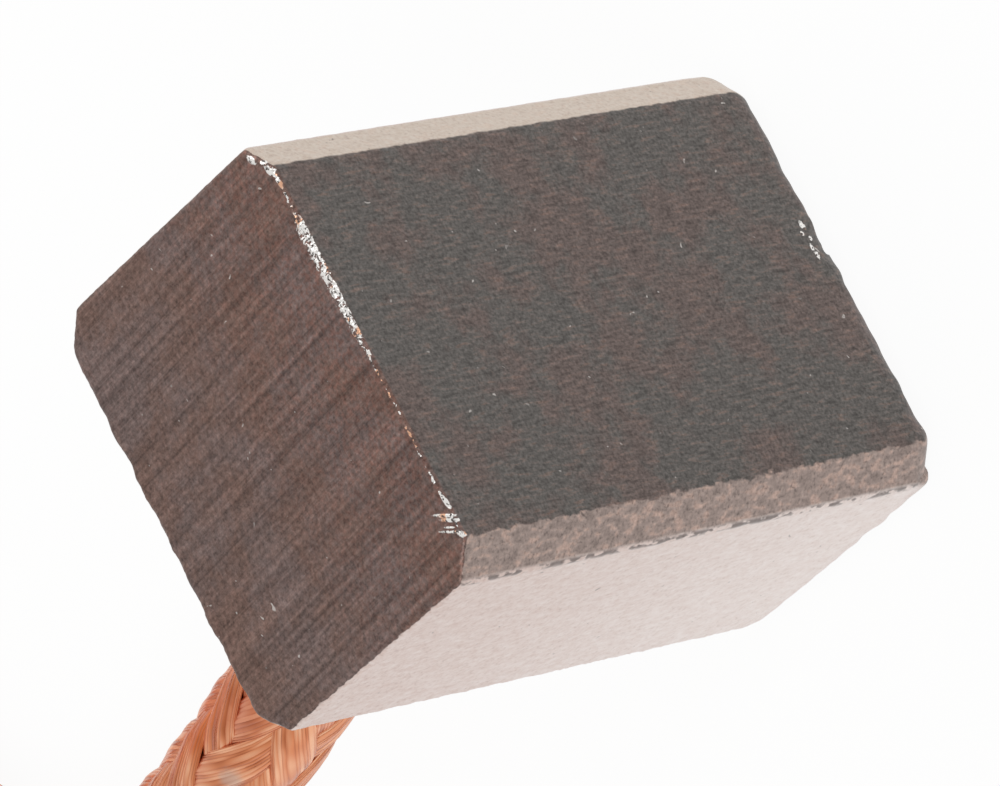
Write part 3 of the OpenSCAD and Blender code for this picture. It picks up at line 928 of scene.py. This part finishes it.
def makePowder():
    deselectAll()
    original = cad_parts["tamped_powder"]
    piece = original.copy()
    piece.data = original.data.copy()
    scene.collection.objects.link(piece)
    piece.name = "powderPlug"
    makeActive(piece)
    bpy.ops.object.mode_set(mode="EDIT")
    bpy.ops.mesh.select_all(action="SELECT")
    bpy.ops.mesh.remove_doubles(threshold=0.002 * mm)
    bpy.ops.object.mode_set(mode="OBJECT")
    applyModifier(piece, "REMESH", mode="VOXEL", voxel_size=powder["grid"] * mm, adaptivity=0)
    points = getPoints(piece) / mm
    coarse, fine = powder["lumps"]
    outer = np.clip((points[:, 1] - powder["mouth"]) / 0.3, 0, 1)
    points[:, 1] += outer * (coarse * waves(points, 0.5, 61) + fine * waves(points, 0.16, 62) - powder["sunk"])
    setPoints(piece, points * mm)
    applyModifier(piece, "DECIMATE", ratio=0.5)
    bpy.ops.object.shade_smooth_by_angle(angle=math.radians(40))
    return piece


def makePowderMaterial():
    # tamped and not sintered: dull matt copper, grainy, with dark gaps and a few bright pressed grains
    material, tree, sockets = newMaterial("tamped copper powder", Metallic=1)
    place = addNode(tree, "VectorMath", {0: addNode(tree, "TexCoord", out=3), 3: 1 / mm}, operation="SCALE")
    grains = addNode(tree, "TexVoronoi", {"Vector": place, "Scale": 11.0}).node.outputs
    clouds = addNode(tree, "TexNoise", {"Vector": place, "Scale": 2.5, "Detail": 4.0})
    chance = addNode(tree, "SeparateColor", {0: grains["Color"]})
    pale = addNode(tree, "MapRange", {0: chance, 1: 0.4, 2: 1.0}, interpolation_type="SMOOTHSTEP")
    color = addNode(tree, "Mix", {0: pale, 6: linearColor(powder["color"]), 7: linearColor(powder["pale"])},
                    out=2, data_type="RGBA")
    gaps = addNode(tree, "Math", {0: grains["Distance"], 1: clouds}, operation="ADD")
    gaps = addNode(tree, "MapRange", {0: gaps, 1: 0.85, 2: 1.25}, interpolation_type="SMOOTHSTEP")
    color = addNode(tree, "Mix", {0: gaps, 6: color, 7: linearColor(powder["dark"])}, out=2, data_type="RGBA")
    tree.links.new(color, sockets["Base Color"])
    tree.links.new(addNode(tree, "MapRange", {0: chance, 3: 0.7, 4: 0.42}), sockets["Roughness"])
    height = addNode(tree, "Math", {0: 1.0, 1: grains["Distance"]}, operation="SUBTRACT")
    tree.links.new(addNode(tree, "Bump", {"Strength": 0.8, "Distance": 0.03 * mm, "Height": height}),
                   sockets["Normal"])
    return material


powderPiece = makePowder()
giveMaterial(powderPiece, makePowderMaterial())
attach(powderPiece, "root")
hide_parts("tamped_powder")
print("powder tamped:", len(powderPiece.data.polygons), "faces")
